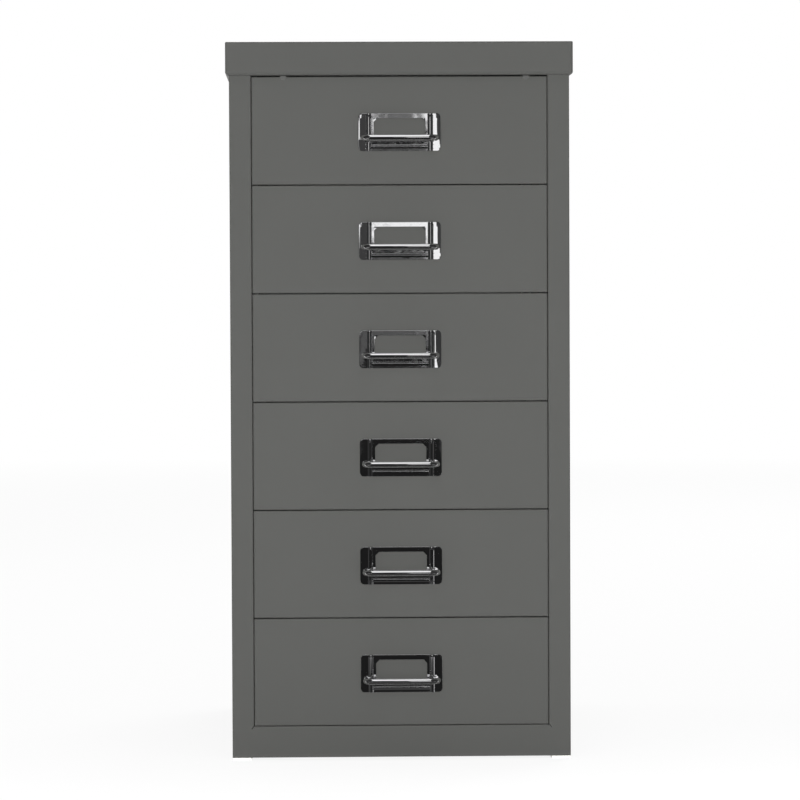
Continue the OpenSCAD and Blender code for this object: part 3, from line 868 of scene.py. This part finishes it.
def stage_painted_reflections():
    """Glowing cards that only reflections see: painted reflections of a dark room, with bright
    openings to the right of the middle and high at the left, for the pull plates and bars to
    mirror. The first, second and third cards are painted reflections for the feet, flats and
    rails of those drawers' plates."""
    walls = [
        # name, from x to x, from z to z, grey
        ("low", -ROOM_SIDE, ROOM_SIDE, 0, 0.15, 0.012),
        ("third_foot", -ROOM_SIDE, 0.15, 0.15, 0.247, 0.03),
        ("third_flat", -ROOM_SIDE, 0.15, 0.247, 0.275, 0.01),
        ("third_rail", -ROOM_SIDE, 0.15, 0.275, 0.33, 0.09),
        ("low_right", 0.42, ROOM_SIDE, 0.15, 0.38, 0.04),
        ("low_wing", -ROOM_SIDE, 0.03, 0.33, 0.38, 0.05),
        ("second_foot", 0.03, 0.15, 0.33, 0.44, 0.1),
        ("second_flat", 0.03, 0.15, 0.44, 0.47, 0.01),
        ("first_foot", 0.03, 0.15, 0.53, 0.634, 0.08),
        ("first_flat", 0.03, 0.15, 0.634, 0.662, 0.01),
        ("first_rail", 0.046, 0.128, 0.662, 0.75, 0.14),
        ("far_left", -ROOM_SIDE, -1.5, 0.38, 0.75, 0.04),
        ("lower_left", -1.5, -0.75, 0.38, 0.55, 0.25),
        ("left", -0.75, 0.03, 0.38, 0.75, 0.05),
        ("right", 0.7, ROOM_SIDE, 0.38, 0.75, 0.05),
        ("high", -ROOM_SIDE, ROOM_SIDE, 0.75, ROOM_SIDE, 0.03),
    ]
    for name, x0, x1, z0, z1, grey in walls:
        painted_reflection("painted_reflection_" + name, upright(x0, x1, z0, z1), grey)
    # glowing cards on the floor: painted dark and bright reflections of the floor in the bars
    # and plates
    painted_reflection("painted_reflection_floor_near", flat(-0.55, -0.184), 0.05)
    painted_reflection("painted_reflection_floor_far", flat(ROOM_FRONT, -0.55), 0.012)
    for side in (-1, 1):
        x0, x1 = sorted((0.42 * side, 1.35 * side))
        painted_reflection("painted_reflection_floor_side", flat(-1.4, -0.6, x0, x1, 0.005), 0.3)
    for name, x0, x1 in (("over_left", -ROOM_SIDE, -0.6), ("over_right", 0.35, ROOM_SIDE)):
        painted_reflection("painted_reflection_" + name, flat(ROOM_FRONT, 0.3, x0, x1, ROOM_SIDE), 0.03)
    for side in (-1, 1):
        x = ROOM_SIDE * side
        painted_reflection("painted_reflection_side", [(x, ROOM_FRONT, 0), (x, 0.3, 0),
                           (x, 0.3, ROOM_SIDE), (x, ROOM_FRONT, ROOM_SIDE)], 0.03)


def lamp(name, place, target, width, height, watts, beam=180):
    """A lamp of this width and height that the camera and reflections don't see. Beam is
    the angle of its light in degrees."""
    bpy.ops.object.light_add(type="AREA", location=place)
    made = bpy.context.object
    made.name = name
    made.rotation_mode = "QUATERNION"
    made.rotation_quaternion = (target - place).to_track_quat("-Z", "Y")
    made.data.shape = "RECTANGLE"
    made.data.size, made.data.size_y = width, height
    made.data.energy = watts
    made.data.spread = radians(beam)
    made.visible_camera = made.visible_glossy = False


class CABINET_OT_stage(bpy.types.Operator):
    """Sets the pale floor, the soft light and the camera"""
    bl_idname = "cabinet.stage"
    bl_label = "Set the Stage"

    def execute(self, context):
        settings = context.scene.cabinet_stage
        nothing_selected()
        stage_floor(settings)
        surround_light(settings.surround)
        stage_painted_reflections()
        self.add_lamps(settings)
        self.add_camera(context, settings)
        context.scene.view_settings.view_transform = "Standard"
        return {"FINISHED"}

    def add_lamps(self, settings):
        """Soft lamps before, behind, beside and above the cabinet, a narrow one on the floor
        before it, and two thin strips at the camera that light whatever it sees."""
        target, camera = Vector(settings.target), self.camera_place(settings)
        forecourt = Vector((0, -0.8, 0))
        lamp("key_lamp", Vector((-0.4, -4.2, 0.45)), target, 2.8, 0.8, settings.key)
        lamp("floor_lamp", forecourt + Vector((0, 0, 1.5)), forecourt, 1.2, 0.8,
             settings.bounce, 60)
        lamp("rear_lamp", Vector((1.6, 3.2, 2.2)), target, 2.4, 1.6, settings.rear)
        lamp("left_lamp", Vector((-3.2, 0.6, 1.6)), target, 2.0, 1.4, settings.left)
        lamp("top_lamp", Vector((0.2, 0.9, 3.2)), target, 1.8, 1.8, settings.top)
        lamp("level_strip", camera, target, 1.6, 0.01, settings.level_strip)
        lamp("upright_strip", camera, target, 0.01, 1.2, settings.upright_strip)

    def camera_ahead(self, s):
        return Vector((sin(s.yaw) * cos(s.pitch), cos(s.yaw) * cos(s.pitch), sin(s.pitch)))

    def camera_place(self, s):
        return Vector(s.target) - s.distance * self.camera_ahead(s)

    def add_camera(self, context, s):
        ahead = self.camera_ahead(s)
        level = Vector((cos(s.yaw), -sin(s.yaw), 0))
        up = level.cross(ahead)
        right = cos(s.roll) * level + sin(s.roll) * up
        over = cos(s.roll) * up - sin(s.roll) * level
        place = self.camera_place(s)
        bpy.ops.object.camera_add(location=place)
        camera = bpy.context.object
        camera.matrix_world = (Matrix.Translation(place)
                               @ Matrix((right, over, -ahead)).transposed().to_4x4())
        camera.data.sensor_width = 36
        camera.data.lens = s.lens
        camera.data.clip_end = 200
        context.scene.camera = camera


class CABINET_PT_panel(bpy.types.Panel):
    """Lists the cabinet's pieces and their settings"""
    bl_idname = "CABINET_PT_panel"
    bl_label = "Steel Drawer Cabinet"
    bl_space_type = "VIEW_3D"
    bl_region_type = "UI"
    bl_category = "Cabinet"

    def draw(self, context):
        for operator, settings in STEPS:
            box = self.layout.box()
            box.operator(operator.bl_idname)
            if settings:
                values = getattr(context.scene, settings)
                for name in values.__annotations__:
                    box.prop(values, name)


STEPS = (
    (CABINET_OT_carcass, "cabinet_coat"),
    (CABINET_OT_drawers, None),
    (CABINET_OT_runners, "cabinet_plating"),
    (CABINET_OT_small_parts, "cabinet_plastic"),
    (CABINET_OT_buffer_lips, "cabinet_lip"),
    (CABINET_OT_pull_plates, "cabinet_plate"),
    (CABINET_OT_pull_bars, "cabinet_bar"),
    (CABINET_OT_stage, "cabinet_stage"),
)
SETTINGS = {
    "cabinet_coat": CoatSettings,
    "cabinet_plating": PlatingSettings,
    "cabinet_plastic": PlasticSettings,
    "cabinet_plate": PlateSettings,
    "cabinet_bar": BarSettings,
    "cabinet_lip": LipSettings,
    "cabinet_stage": StageSettings,
}
CLASSES = (*SETTINGS.values(), *(operator for operator, _ in STEPS), CABINET_PT_panel)


def register():
    for kind in CLASSES:
        bpy.utils.register_class(kind)
    for name, kind in SETTINGS.items():
        setattr(bpy.types.Scene, name, PointerProperty(type=kind))


def unregister():
    for name in SETTINGS:
        delattr(bpy.types.Scene, name)
    for kind in reversed(CLASSES):
        bpy.utils.unregister_class(kind)


def main():
    register()
    bpy.ops.cabinet.carcass()
    bpy.ops.cabinet.drawers()
    bpy.ops.cabinet.runners()
    bpy.ops.cabinet.small_parts()
    bpy.ops.cabinet.buffer_lips()
    bpy.ops.cabinet.pull_plates()
    bpy.ops.cabinet.pull_bars()
    bpy.ops.cabinet.stage()


if __name__ == "__main__":
    main()
